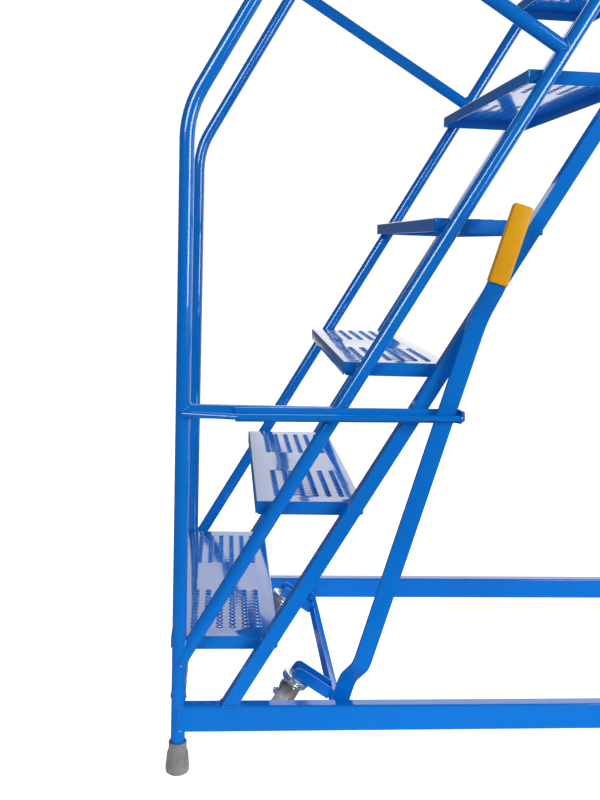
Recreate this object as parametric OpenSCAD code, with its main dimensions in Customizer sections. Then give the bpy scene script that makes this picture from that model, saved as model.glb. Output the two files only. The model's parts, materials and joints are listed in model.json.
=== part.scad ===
// Rolling warehouse ladder: welded tube frame, six treads and a platform, lever-worked front castors.
// Origin: centre of the right front foot's underside. +X is the climbing direction, +Y the left
// side, +Z up. Millimetres.

/* [Stair] */
// Height of one step
rise = 254; // [240:1:260]
// Slope of the stair above the floor, in degrees
slope = 60; // [58:0.5:62]
// Number of treads below the platform
tread_count = 6; // [4:1:6]
// Width of a tread between the side frames
tread_w = 610; // [560:5:660]
// Depth of a tread from nose to back
tread_d = 194; // [180:1:200]
// Depth of the folded edge round a tread
tread_lip = 24; // [20:1:28]
// Thickness of the tread sheet
sheet_t = 2; // [1.5:0.5:2.5]
// Distance of the lowest nose in front of the right post's axis
nose_x = 16; // [10:1:22]
// Distance from a nose back to the front stile's axis, along the floor
nose_to_stile = 41.5; // [36:0.5:46]
// Distance between the front and rear stiles' axes, along the floor
stile_gap = 137; // [131:1:143]

/* [Tread slots] */
// Number of slots side by side in each band
slot_rows = 6; // [4:1:6]
// Width of a slot
slot_w = 7; // [5:0.5:9]
// Length of a slot across the tread
slot_len = 190; // [150:5:200]
// Distance between neighbouring slots
slot_pitch = 23.8; // [20:0.2:24]
// Distance from the nose to the first slot
slot_first = 40; // [30:1:44]
// Distance from the side of the tread to the slots
slot_margin = 36; // [20:1:40]

/* [Frame tubes] */
// Outside diameter of the round tubes and side of the square ones
tube_d = 25.4; // [24:0.2:27]
// Wall of every tube
wall = 2; // [1.5:0.1:2.5]
// Height of the base rails
rail_h = 50; // [45:1:55]
// Underside of the base rails above the floor
rail_z = 82; // [80:1:86]
// Corner radius of the box tubes
rail_corner = 4; // [2:0.5:5]
// Rear end of the base rails behind the right post's axis
rail_end = 1330; // [1325:1:1340]
// Rear legs' axis behind the right post's axis
leg_x = 1300; // [1295:1:1310]

/* [Handrails] */
// Distance from the front stile forward to the handrail, along the floor
handrail_gap = 556; // [550:1:565]
// Height of the top rail above the platform
guard_h = 1000; // [950:10:1050]
// Radius of the handrails' lower bends, at the tube's axis
low_bend_r = 170; // [120:5:200]
// Radius of the handrails' two upper bends
top_bend_r = 120; // [100:5:122]
// Height where the struts leave the front stiles
strut_z = 1300; // [1280:1:1330]
// Heights of the two crossbars between the rear legs
crossbar_z = [520, 1152];
// Platform uprights' axis behind the right post's axis
upright_x = 869; // [868:0.5:870]
// Height of the toe boards
toe_h = 100; // [90:5:110]

/* [Feet] */
// Height of a rubber foot
foot_h = 60; // [55:1:64]
// Rubber under the end of the post
foot_sole = 8; // [6:1:10]

/* [Lever] */
// Lever and carriage pivot, behind the post's axis
pivot_x = 295; // [293:1:297]
// Lever and carriage pivot, above the floor
pivot_z = 104; // [102:1:108]
// Lean of the lever behind vertical with the castors raised, in degrees
lever_lean = 15.5; // [15:0.1:16]
// Width of the lever bar
lever_w = 32; // [30:1:34]
// Thickness of the lever bar
lever_t = 8; // [6:1:8]
// Length of the lever from pivot to tip
lever_len = 965; // [955:1:975]
// Length of the dipped grip
grip_len = 135; // [130:1:137]
// Width of the grip
grip_w = 35; // [34:1:38]
// Thickness of the grip
grip_t = 16; // [14:1:18]
// Height of the lever guide's axis
guide_z = 671.5; // [668:0.5:675]
// Rear end of the lever guide
guide_end = 484; // [480:1:490]
// Height of the guide strap's middle at the post's axis
strap_z = 668.8; // [668:0.1:670]
// Rise of the guide strap and its rod towards the rear, in degrees
strap_rise = 0.7; // [0:0.1:1]

/* [Front castors] */
// Angle of the raised castor arms above level, in degrees
arm_tilt = 34; // [33:0.5:35]
// Distance from the side frame's plane in to a castor arm's middle
arm_in = 110; // [105:1:120]
// Distance from the pivot to the castor's swivel axis
stem_reach = 72; // [70:1:74]
// Diameter of a castor wheel
castor_d = 75; // [74:1:76]
// Width of a castor wheel
castor_w = 25; // [24:1:26]
// Height of a castor from its mounting face to the bottom of its wheel
castor_h = 97; // [96:1:100]
// Distance from swivel axis to wheel axle
castor_trail = 25; // [23:1:27]
// Turn of the resting castors away from the pivot, in degrees
castor_turn = 60; // [0:5:90]

/* [Rear wheels] */
// Diameter of a rear wheel
rear_d = 125; // [120:1:126]
// Width of a rear wheel
rear_w = 32; // [30:1:33]
// Axle of the rear wheels behind the right post's axis
rear_axle_x = 1404; // [1402:1:1410]

/* [Hidden] */
$fn = 48;

BLUE = [0.02, 0.38, 0.76];
YELLOW = [0.88, 0.62, 0.03];
GREY = [0.48, 0.47, 0.46];
ZINC = [0.72, 0.74, 0.76];
BLACK = [0.12, 0.12, 0.13];

RIGHT = 0;
LEFT = 1;
tube_r = tube_d / 2;
// Radius of the cut that fits one tube's end round another.
cope_r = tube_r + 0.05;
track = tread_w + tube_d;
going = rise / tan(slope);
platform_z = rise * (tread_count + 1);
platform_nose = going * tread_count - nose_x;
platform_rail_h = 50;
guard_z = platform_z + guard_h;
mid_z = platform_z + guard_h / 2;
leg_front = leg_x - tube_r;
far_out = 3000;

// Axes of the sloping members at height z.
function front_x(z) = (z - rise) / tan(slope) - nose_x + nose_to_stile;
function rear_x(z) = front_x(z) + stile_gap;
function handrail_x(z) = front_x(z) - handrail_gap;
function front_z(x) = rise + (x + nose_x - nose_to_stile) * tan(slope);
function handrail_z(x) = front_z(x + handrail_gap);
function side_y(side) = side * track;
// Distance in from a side frame's plane, as a Y value.
function inward(side, distance) = side == RIGHT ? distance : track - distance;

// ---- shared shapes ----

// A rod from point a to point b in the XZ plane.
module rod(a, b, r) {
    run = b - a;
    translate([a.x, 0, a.y]) rotate([0, 90 - atan2(run.y, run.x), 0]) cylinder(h = norm(run), r = r);
}

// A rod along Y.
module y_rod(x, z, from, to, r) {
    translate([x, to, z]) rotate([90, 0, 0]) cylinder(h = to - from, r = r);
}

// A rectangle with round corners, centred.
module round_rect(w, h, r) {
    square([w - 2 * r, h], center = true);
    square([w, h - 2 * r], center = true);
    for (x = [-1, 1], y = [-1, 1])
        translate([x * (w / 2 - r), y * (h / 2 - r)]) circle(r);
}

module hollow_rect(w, h, r) {
    difference() {
        round_rect(w, h, r);
        round_rect(w - 2 * wall, h - 2 * wall, max(r - wall, 0.5));
    }
}

function unit(a) = [cos(a), sin(a)];
// The heading of each straight between the points of a path.
function headings(p) = [for (i = [0 : len(p) - 2]) atan2(p[i + 1].y - p[i].y, p[i + 1].x - p[i].x)];
// Distance from a path's corner i to the ends of its bend; bends lists the corners' radii.
function bend_length(h, i, bends) = bends[i - 1] * abs(tan((h[i - 1] - h[i]) / 2));

// A round section, solid or with the tube's wall, made thicker by swell on every face.
module section(r, hollow, swell = 0) {
    difference() {
        circle(r + swell);
        if (hollow) circle(r - wall - swell);
    }
}

// A rod or tube in the XZ plane through points, with clockwise bends at the corners. The bends
// are a hair thicker than the straights, which run a little way into them.
module bent_rod(points, bends, r, hollow = false) {
    swell = 0.15;
    lap = 1;
    h = headings(points);
    last = len(points) - 1;
    for (i = [0 : last - 1]) {
        from = points[i] + (i == 0 ? 0 : bend_length(h, i, bends) - lap) * unit(h[i]);
        to = points[i + 1]
            - (i == last - 1 ? 0 : bend_length(h, i + 1, bends) - lap) * unit(h[i]);
        translate([from.x, 0, from.y]) rotate([0, 90 - h[i], 0])
            linear_extrude(norm(to - from)) section(r, hollow);
    }
    for (i = [1 : last - 1]) {
        start = points[i] - bend_length(h, i, bends) * unit(h[i - 1]);
        centre = start + bends[i - 1] * unit(h[i - 1] - 90);
        translate([centre.x, 0, centre.y]) rotate([90, 0, 0]) rotate([0, 0, h[i] + 90])
            rotate_extrude(angle = h[i - 1] - h[i], $fn = 96)
                translate([bends[i - 1], 0]) section(r, hollow, swell);
    }
}

handrail_bends = [low_bend_r, top_bend_r, top_bend_r];
handrail_points = [
    [0, foot_sole], [0, handrail_z(0)], [handrail_x(guard_z), guard_z], [leg_x, guard_z],
    [leg_x, platform_z]
];

// ---- side frames ----

module handrail(side) {
    color(BLUE) translate([0, side_y(side), 0])
        bent_rod(handrail_points, handrail_bends, tube_r, hollow = true);
}

// A stile's axis runs through (front_x or rear_x) at every height.
module front_stile_rod(r) {
    rod([0, front_z(0)], [front_x(platform_z), platform_z], r);
}

module front_stile(side) {
    color(BLUE) translate([0, side_y(side), 0]) difference() {
        front_stile_rod(tube_r);
        front_stile_rod(tube_r - wall);
        rod([0, 0], [0, 600], cope_r);
        translate([0, -50, platform_z - platform_rail_h]) cube([far_out, 100, 100]);
    }
}

module rear_stile_bar(w) {
    translate([rear_x(0), 0, 0]) rotate([0, 90 - slope, 0])
        linear_extrude(platform_z / sin(slope)) square(w, center = true);
}

module rear_stile(side) {
    color(BLUE) translate([0, side_y(side), 0]) difference() {
        rear_stile_bar(tube_d);
        rear_stile_bar(tube_d - 2 * wall);
        translate([-50, -50, -50]) cube([far_out, 100, 50 + rail_z + rail_h]);
        translate([0, -50, platform_z - platform_rail_h]) cube([far_out, 100, 150]);
    }
}

module base_rail(side) {
    bush_side = side == RIGHT ? 0 : -tube_r;
    color(BLUE) translate([0, side_y(side), 0]) difference() {
        translate([0, 0, rail_z + rail_h / 2]) rotate([90, 0, 90])
            linear_extrude(rail_end) hollow_rect(tube_d, rail_h, rail_corner);
        rod([0, 0], [0, 300], cope_r);
        y_rod(pivot_x, pivot_z, bush_side, bush_side + tube_r + 1, bush_r);
    }
}

module strut_rod(r) {
    foot = [front_x(strut_z), strut_z];
    rod(foot, foot + handrail_gap * sin(slope) * unit(90 + slope), r);
}

module strut(side) {
    color(BLUE) translate([0, side_y(side), 0]) difference() {
        strut_rod(tube_r);
        strut_rod(tube_r - wall);
        front_stile_rod(cope_r);
        rod(handrail_points[1], handrail_points[2], cope_r);
    }
}

module rear_leg(side) {
    color(BLUE) translate([0, side_y(side), 0]) difference() {
        rod([leg_x, rail_z + rail_h], [leg_x, platform_z], tube_r);
        rod([leg_x, rail_z], [leg_x, platform_z + 1], tube_r - wall);
    }
}

module leg_rod() {
    rod([leg_x, rail_z], [leg_x, guard_z], cope_r);
}

module platform_rail(side) {
    start = min(front_x(platform_z - platform_rail_h) - tube_r / sin(slope), upright_x - tube_r);
    color(BLUE) translate([0, side_y(side), 0]) difference() {
        translate([start, 0, platform_z - platform_rail_h / 2]) rotate([90, 0, 90])
            linear_extrude(leg_x - start) hollow_rect(tube_d, platform_rail_h, rail_corner);
        leg_rod();
    }
}

module upright(side) {
    color(BLUE) translate([0, side_y(side), 0]) difference() {
        rod([upright_x, platform_z], [upright_x, guard_z], tube_r);
        rod([upright_x, platform_z - 1], [upright_x, guard_z], tube_r - wall);
        rod(handrail_points[1], handrail_points[2], cope_r);
        translate([upright_x, -50, handrail_z(upright_x)]) rotate([0, -slope, 0])
            translate([-100, 0, 0]) cube([200, 100, 300]);
    }
}

module mid_rail(side) {
    color(BLUE) translate([0, side_y(side), 0]) difference() {
        rod([upright_x, mid_z], [leg_x, mid_z], tube_r);
        rod([upright_x, mid_z], [leg_x, mid_z], tube_r - wall);
        rod([upright_x, platform_z], [upright_x, guard_z], cope_r);
        leg_rod();
    }
}

// ---- cross pieces ----

// A tube across the ladder, coped to the upright tubes at x on both sides.
module cross_tube(x, z) {
    difference() {
        y_rod(x, z, 0, track, tube_r);
        y_rod(x, z, -1, track + 1, tube_r - wall);
        for (side = [RIGHT, LEFT])
            translate([x, side_y(side), z - 50]) cylinder(h = 100, r = cope_r);
    }
}

module front_cross_tube() {
    color(BLUE) cross_tube(0, rail_z + rail_h + tube_r + 1);
}

module rear_cross_rail() {
    color(BLUE) translate([leg_x, tube_r, rail_z + rail_h / 2]) rotate([-90, 0, 0])
        linear_extrude(tread_w) hollow_rect(tube_d, rail_h, rail_corner);
}

module leg_crossbars() {
    color(BLUE) for (z = crossbar_z) cross_tube(leg_x, z);
}

// The top rail sits just under the bends, the lower one just under the mid rails.
module rear_guard_rails() {
    color(BLUE) for (z = [mid_z - tube_d - 1, guard_z - top_bend_r - tube_r]) cross_tube(leg_x, z);
}

// Upright plates round the platform, between the posts and flush with the deck's edges.
module toe_boards() {
    plate = 3;
    start = upright_x + tube_r;
    color(BLUE) translate([0, 0, platform_z]) {
        for (y = [tube_r - plate, track - tube_r])
            translate([start, y, 0]) cube([leg_front + plate - start, plate, toe_h]);
        translate([leg_front, tube_r, 0]) cube([plate, tread_w, toe_h]);
    }
}

// ---- treads ----

// A folded sheet tray, open underneath, with two bands of grip slots.
module tray(depth, rows) {
    difference() {
        translate([0, 0, -tread_lip]) cube([depth, tread_w, tread_lip]);
        translate([sheet_t, sheet_t, -tread_lip - 1])
            cube([depth - 2 * sheet_t, tread_w - 2 * sheet_t, tread_lip + 1 - sheet_t]);
        for (row = [0 : rows - 1], y = [slot_margin, tread_w - slot_margin - slot_len])
            translate([slot_first + row * slot_pitch - slot_w / 2, y, -sheet_t - 1])
                cube([slot_w, slot_len, sheet_t + 2]);
    }
}

module tread(n) {
    color(BLUE) translate([(n - 1) * going - nose_x, tube_r, n * rise]) tray(tread_d, slot_rows);
}

module platform_deck() {
    depth = leg_front - platform_nose;
    rows = floor((depth - 2 * slot_first) / slot_pitch) + 1;
    color(BLUE) translate([platform_nose, tube_r, platform_z]) tray(depth, rows);
}

// ---- lever guide ----

strap_t = 5;
strap_h = 25;
strap_tip = 12;
strap_start = 86;
guide_out = 40;
guide_rod_r = 5;
guide_rod_bend = 95;
guide_rod_bend_r = 40;
strap_y = -tube_r - strap_t / 2;
strap_bend_r = 9;

module lever_guide_tube() {
    color(BLUE) difference() {
        rod([0, guide_z], [front_x(guide_z), guide_z], tube_r);
        rod([0, guide_z], [front_x(guide_z), guide_z], tube_r - wall);
        rod([0, 500], [0, 800], cope_r);
        front_stile_rod(cope_r);
    }
}

// Flat strap along the outside of the frame, bent outwards at its rear end, with a round rod
// from there back to the post. The bent end narrows towards the rod. The lever slides between.
module lever_guide_strap() {
    bend_x = guide_end - strap_bend_r - strap_t / 2;
    leg_y = strap_y - strap_bend_r;
    leg = [
        [leg_y, -strap_h / 2], [leg_y, strap_h / 2],
        [-guide_out, strap_tip / 2], [-guide_out, -strap_tip / 2]
    ];
    rod_start = tube_r + guide_rod_r - 0.6;
    rod_points = [[0, rod_start], [guide_rod_bend, guide_out], [guide_end - 1, guide_out]];
    color(BLUE) difference() {
        translate([0, 0, strap_z]) rotate([0, -strap_rise, 0]) {
            translate([strap_start, strap_y - strap_t / 2, -strap_h / 2])
                cube([bend_x - strap_start, strap_t, strap_h]);
            translate([bend_x, strap_y - strap_bend_r, -strap_h / 2])
                rotate_extrude(angle = 90)
                    translate([strap_bend_r - strap_t / 2, 0]) square([strap_t, strap_h]);
            translate([guide_end - strap_t, 0, 0]) rotate([90, 0, 90])
                linear_extrude(strap_t) polygon(leg);
            rotate([90, 0, 0]) bent_rod(rod_points, [guide_rod_bend_r], guide_rod_r);
        }
        rod([0, 500], [0, 800], cope_r);
    }
}

// ---- feet ----

module foot(side) {
    color(GREY) translate([0, side_y(side), 0]) rotate_extrude() difference() {
        polygon([
            [0, 0], [19, 0], [21.5, 3], [21.5, 16], [20.5, 18], [19, foot_h - 20],
            [16.5, foot_h - 17], [16.5, foot_h - 1], [15.5, foot_h], [0, foot_h]
        ]);
        translate([0, foot_sole]) square([tube_r, foot_h]);
    }
}

// ---- rear wheels ----

bracket_t = 4;
bracket_half = rear_w / 2 + 2;
axle_r = 6;
run_gap = 0.05;

module wheel_bracket(side) {
    drop = rail_z + rail_h - rear_d / 2;
    back = rear_axle_x - rail_end;
    color(BLUE) translate([rail_end, side_y(side), rear_d / 2]) {
        translate([0, -bracket_half - bracket_t, rail_z - rear_d / 2 - 12])
            cube([bracket_t, 2 * (bracket_half + bracket_t), rail_h + 12]);
        for (y = [-bracket_half - bracket_t, bracket_half])
            difference() {
                translate([0, y + bracket_t, 0]) rotate([90, 0, 0]) linear_extrude(bracket_t) {
                    polygon([
                        [bracket_t, drop], [bracket_t + 14, drop], [back + 10, 13],
                        [back, -16], [bracket_t, rail_z - rear_d / 2 - 12]
                    ]);
                    translate([back, 0]) circle(16);
                }
                translate([back, y + bracket_t + 1, 0]) rotate([90, 0, 0])
                    cylinder(h = bracket_t + 2, r = axle_r);
            }
    }
}

module rear_axle_bolts() {
    face = bracket_half + bracket_t;
    color(ZINC) for (side = [RIGHT, LEFT]) {
        translate([rear_axle_x, side_y(side), rear_d / 2]) rotate([90, 0, 0]) {
            translate([0, 0, -face - 13]) cylinder(h = 2 * face + 13, r = axle_r);
            translate([0, 0, face]) cylinder(h = 8, r = 10.5, $fn = 6);
            translate([0, 0, -face - 10]) cylinder(h = 10, r = 10.5, $fn = 6);
        }
    }
}

rim_r = rear_d / 2 - 14;

module rear_tyre(side) {
    half = rear_w / 2;
    color(GREY) translate([rear_axle_x, side_y(side), rear_d / 2]) rotate([90, 0, 0])
        rotate_extrude($fn = 96) polygon([
            [rim_r, -half], [rear_d / 2 - 5, -half], [rear_d / 2 - 1, -half + 5],
            [rear_d / 2, -half + 10], [rear_d / 2, half - 10], [rear_d / 2 - 1, half - 5],
            [rear_d / 2 - 5, half], [rim_r, half]
        ]);
}

module rear_rim(side) {
    half = rear_w / 2;
    hub_r = 17;
    web = 4;
    color(BLACK) translate([rear_axle_x, side_y(side), rear_d / 2]) rotate([90, 0, 0])
        rotate_extrude($fn = 96) {
            bore = axle_r + run_gap;
            translate([bore, -half]) square([hub_r - bore, rear_w]);
            translate([hub_r, -web]) square([rim_r - hub_r, 2 * web]);
            translate([rim_r - 5, 2 - half]) square([5, rear_w - 4]);
        }
}

// ---- lever and castor carriage ----
// The carriage is drawn with its arms level and its pivot at the origin, then tipped up to rest.

bush_r = 10;
stub_r = 6;
web_z = -19;
arm_w = 38;
arm_h = 24;
arm_t = 3;
arm_end = stem_reach + 14;
angle_w = 16;
angle_t = 3;
angle_x = -2.5;
angle_z = -14;
lever_in = 30;
lever_mid_out = 28;
lever_top_out = 66;

module carriage() {
    translate([pivot_x, 0, pivot_z]) rotate([0, arm_tilt, 0]) children();
}

module pivot_bushes() {
    color(BLUE) for (y = [0, track - tube_r - 1]) difference() {
        y_rod(pivot_x, pivot_z, y, y + tube_r + 1, bush_r);
        y_rod(pivot_x, pivot_z, y - 1, y + tube_r + 2, stub_r + run_gap);
    }
}

module pivot_stubs() {
    gap = lever_in - lever_t / 2 - run_gap;
    color(BLUE) {
        y_rod(pivot_x, pivot_z, 1, gap, stub_r);
        y_rod(pivot_x, pivot_z, track - gap, track - 1, stub_r);
    }
}

// Corners of the lever's centre line: distance from the pivot, and Y.
lever_points = [
    [0, lever_in], [63, lever_in], [117, -lever_mid_out], [772, -lever_mid_out],
    [832, -lever_top_out], [lever_len, -lever_top_out]
];

// The lever's side outline: its centre line moved by t / 2 to one side, with mitred corners.
function lever_edge(p, t) = [
    for (i = [0 : len(p) - 1])
        let (before = atan2(p[i].y - p[max(i - 1, 0)].y, p[i].x - p[max(i - 1, 0)].x))
        let (next = min(i + 1, len(p) - 1))
        let (after = atan2(p[next].y - p[i].y, p[next].x - p[i].x))
        let (mid = i == 0 ? after : i == len(p) - 1 ? before : (before + after) / 2)
        let (reach = t / 2 / cos(i == 0 || i == len(p) - 1 ? 0 : (after - before) / 2))
        [p[i].x - reach * sin(mid), p[i].y + reach * cos(mid)]
];

module hand_lever() {
    eye_r = lever_w / 2 + 2;
    far_edge = lever_edge(lever_points, lever_t);
    near_edge = lever_edge(lever_points, -lever_t);
    last = len(near_edge) - 1;
    outline = concat(far_edge, [for (i = [0 : last]) near_edge[last - i]]);
    color(BLUE) translate([pivot_x, 0, pivot_z]) rotate([0, lever_lean, 0]) {
        translate([-lever_w / 2, 0, 0]) rotate([90, 0, 90]) linear_extrude(lever_w)
            polygon([for (p = outline) [p.y, p.x]]);
        y_rod(0, 0, lever_in - lever_t / 2, lever_in + lever_t / 2, eye_r);
    }
}

module lever_grip() {
    start = lever_len - grip_len + 5;
    color(YELLOW) translate([pivot_x, 0, pivot_z]) rotate([0, lever_lean, 0]) difference() {
        translate([0, -lever_top_out, start]) linear_extrude(grip_len)
            round_rect(grip_w, grip_t, grip_t / 2 - 1);
        translate([-lever_w / 2, -lever_top_out - lever_t / 2, start - 1])
            cube([lever_w, lever_t, lever_len - start + 1]);
    }
}

module cross_angle() {
    start = lever_in + lever_t / 2;
    color(BLUE) carriage() translate([angle_x, start, angle_z]) {
        cube([angle_t, track - 2 * start, angle_w]);
        translate([angle_t, 0, angle_w - angle_t])
            cube([angle_w - angle_t, track - 2 * start, angle_t]);
    }
}

module pivot_ear() {
    inner = track - lever_in - lever_t / 2;
    ear_r = 17;
    color(BLUE) carriage() y_rod(0, 0, inner, inner + lever_t, ear_r);
}

module castor_arm(side) {
    color(BLUE) carriage() translate([-arm_end, inward(side, arm_in), web_z]) difference() {
        translate([0, -arm_w / 2, 0]) cube([arm_end + angle_x, arm_w, arm_h]);
        translate([-1, -arm_w / 2 + arm_t, arm_t]) cube([arm_end + 2, arm_w - 2 * arm_t, arm_h]);
        translate([arm_end - stem_reach, 0, -1]) cylinder(h = arm_t + 2, r = stub_r);
    }
}

// Places a castor's own parts: the mounting face is z = 0 and the swivel axis is Z.
module castor_place(side) {
    carriage() translate([-stem_reach, inward(side, arm_in), web_z]) children();
}

module castor_turned(side) {
    castor_place(side) rotate([0, 0, side == RIGHT ? castor_turn : -castor_turn]) children();
}

race_r = 28;
race_t = 7;
crown_z = -16;
castor_axle_r = 4;
castor_axle_z = castor_d / 2 - castor_h;
leg_t = 2.5;
leg_in = castor_w / 2 + 1.5;

module castor_kingpins() {
    color(ZINC) for (side = [RIGHT, LEFT]) castor_place(side) {
        rotate_extrude() polygon([
            [0, 0], [race_r - 5, 0], [race_r, -3], [race_r, -race_t], [0, -race_t]
        ]);
        translate([0, 0, crown_z - 4]) cylinder(h = arm_t - crown_z + 4, r = stub_r);
        translate([0, 0, arm_t]) cylinder(h = 8, r = 10, $fn = 6);
        translate([0, 0, crown_z - 4]) cylinder(h = 3.5, r = 9);
    }
}

module castor_fork(side) {
    color(ZINC) castor_turned(side) difference() {
        union() {
            rotate_extrude() polygon([
                [0, -race_t - 0.5], [race_r - 1, -race_t - 0.5], [race_r - 1, -race_t - 4],
                [race_r - 6, crown_z], [0, crown_z]
            ]);
            for (y = [-leg_in - leg_t, leg_in])
                translate([0, y + leg_t, 0]) rotate([90, 0, 0]) linear_extrude(leg_t) {
                    polygon([
                        [-20, crown_z + 3], [22, crown_z + 3], [castor_trail + 10, castor_axle_z],
                        [castor_trail, castor_axle_z - 10], [castor_trail - 9, castor_axle_z - 5]
                    ]);
                    translate([castor_trail, castor_axle_z]) circle(10);
                }
        }
        translate([0, 0, crown_z - 1]) cylinder(h = 20, r = stub_r + run_gap);
        y_rod(castor_trail, castor_axle_z, -30, 30, castor_axle_r);
    }
}

module castor_axle(side) {
    face = leg_in + leg_t;
    color(ZINC) castor_turned(side) {
        y_rod(castor_trail, castor_axle_z, -face - 4, face + 6, castor_axle_r);
        translate([castor_trail, -face, castor_axle_z]) rotate([90, 0, 0])
            cylinder(h = 5, r = 7.5, $fn = 6);
        translate([castor_trail, face + 6, castor_axle_z]) rotate([90, 0, 0])
            cylinder(h = 6, r = 7.5, $fn = 6);
    }
}

module castor_wheel(side) {
    half = castor_w / 2;
    r = castor_d / 2;
    bore = castor_axle_r + run_gap;
    color(GREY) castor_turned(side) translate([castor_trail, 0, castor_axle_z]) rotate([90, 0, 0])
        rotate_extrude($fn = 72) polygon([
            [bore, -half - 1], [10, -half - 1], [11, 4 - half], [24, 4 - half], [25, -half],
            [r - 4, -half], [r - 1, 3 - half], [r, 7 - half], [r, half - 7], [r - 1, half - 3],
            [r - 4, half], [25, half], [24, half - 4], [11, half - 4], [10, half + 1],
            [bore, half + 1]
        ]);
}

handrail(RIGHT);  // right_handrail
handrail(LEFT);  // left_handrail
front_stile(RIGHT);  // right_front_stile
front_stile(LEFT);  // left_front_stile
rear_stile(RIGHT);  // right_rear_stile
rear_stile(LEFT);  // left_rear_stile
base_rail(RIGHT);  // right_base_rail
base_rail(LEFT);  // left_base_rail
strut(RIGHT);  // right_strut
strut(LEFT);  // left_strut
rear_leg(RIGHT);  // right_rear_leg
rear_leg(LEFT);  // left_rear_leg
platform_rail(RIGHT);  // right_platform_rail
platform_rail(LEFT);  // left_platform_rail
upright(RIGHT);  // right_upright
upright(LEFT);  // left_upright
mid_rail(RIGHT);  // right_mid_rail
mid_rail(LEFT);  // left_mid_rail
front_cross_tube();
rear_cross_rail();
leg_crossbars();
rear_guard_rails();
toe_boards();
tread(1);  // tread_1
tread(2);  // tread_2
tread(3);  // tread_3
tread(4);  // tread_4
tread(5);  // tread_5
tread(6);  // tread_6
platform_deck();
lever_guide_tube();
lever_guide_strap();
foot(RIGHT);  // right_foot
foot(LEFT);  // left_foot
pivot_bushes();
wheel_bracket(RIGHT);  // right_wheel_bracket
wheel_bracket(LEFT);  // left_wheel_bracket
rear_axle_bolts();
hand_lever();
lever_grip();
cross_angle();
pivot_ear();
pivot_stubs();
castor_arm(RIGHT);  // right_castor_arm
castor_arm(LEFT);  // left_castor_arm
castor_kingpins();
castor_fork(RIGHT);  // right_castor_fork
castor_fork(LEFT);  // left_castor_fork
castor_axle(RIGHT);  // right_castor_axle
castor_axle(LEFT);  // left_castor_axle
castor_wheel(RIGHT);  // right_castor_wheel
castor_wheel(LEFT);  // left_castor_wheel
rear_tyre(RIGHT);  // right_rear_tyre
rear_tyre(LEFT);  // left_rear_tyre
rear_rim(RIGHT);  // right_rear_rim
rear_rim(LEFT);  // left_rear_rim
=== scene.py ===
"""Looks of the rolling warehouse ladder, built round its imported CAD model.

Metres, in the CAD frame: the origin is under the right front foot, +X is the climbing direction,
+Y the left side, +Z up. The frame is glossy painted steel; pieces that need more detail than the
CAD solids have (treads, lever, grip, feet, castors, wheels, welds) are made here in mesh code.
"""

import json
import math
import random

import bmesh
import bpy
from mathutils import Matrix, Vector
from mathutils.geometry import tessellate_polygon


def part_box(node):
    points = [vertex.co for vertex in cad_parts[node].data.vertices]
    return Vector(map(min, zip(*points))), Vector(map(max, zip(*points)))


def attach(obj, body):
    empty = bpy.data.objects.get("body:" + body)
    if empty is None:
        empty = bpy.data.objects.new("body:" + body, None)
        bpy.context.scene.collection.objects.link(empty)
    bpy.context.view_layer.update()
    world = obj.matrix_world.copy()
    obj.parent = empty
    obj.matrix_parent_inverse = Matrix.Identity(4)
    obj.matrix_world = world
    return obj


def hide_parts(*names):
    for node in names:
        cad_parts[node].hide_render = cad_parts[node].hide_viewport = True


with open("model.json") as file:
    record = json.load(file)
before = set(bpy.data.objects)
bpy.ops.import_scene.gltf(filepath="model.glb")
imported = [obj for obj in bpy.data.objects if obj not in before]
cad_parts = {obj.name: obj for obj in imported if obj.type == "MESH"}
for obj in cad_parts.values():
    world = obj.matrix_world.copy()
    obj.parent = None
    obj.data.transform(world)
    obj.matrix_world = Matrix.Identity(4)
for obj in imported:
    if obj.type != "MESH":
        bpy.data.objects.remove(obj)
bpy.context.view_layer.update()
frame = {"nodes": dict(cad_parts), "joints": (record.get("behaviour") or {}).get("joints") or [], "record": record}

MM = 0.001
X, Y, Z = Vector((1, 0, 0)), Vector((0, 1, 0)), Vector((0, 0, 1))

# ---- sizes shared by several pieces ----

TUBE_R = 12.7 * MM
SLOPE = math.radians(60)
RISE = 254 * MM
TREADS = 6
NOSE_X = 16 * MM  # distance of the lowest nose in front of the right post's axis
NOSE_TO_STILE = 41.5 * MM
STILE_GAP = 137 * MM
HANDRAIL_GAP = 556 * MM
SHEET = 2 * MM


def middle(node):
    """Middle of a CAD node's box."""
    low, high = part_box(node)
    return (low + high) / 2


SIDES = {"right": middle("right_foot").y, "left": middle("left_foot").y}
INWARD = {"right": 1, "left": -1}
POST_X = middle("right_foot").x
LEG_X = middle("right_rear_leg").x
UPRIGHT_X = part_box("right_upright")[0].x + TUBE_R
RAIL_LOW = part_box("right_base_rail")[0].z
RAIL_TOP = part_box("right_base_rail")[1].z
RAIL_MID = (RAIL_LOW + RAIL_TOP) / 2
PLATFORM_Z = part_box("platform_deck")[1].z
PLATFORM_RAIL_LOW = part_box("right_platform_rail")[0].z
GUIDE_Z = middle("lever_guide_tube").z


def front_x(z):
    """Where the front stiles' axis is at height z."""
    return (z - RISE) / math.tan(SLOPE) - NOSE_X + NOSE_TO_STILE


def rear_x(z):
    return front_x(z) + STILE_GAP


def handrail_x(z):
    return front_x(z) - HANDRAIL_GAP


UP_STAIR = Vector((math.cos(SLOPE), 0, math.sin(SLOPE)))

# ---- materials ----


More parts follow.
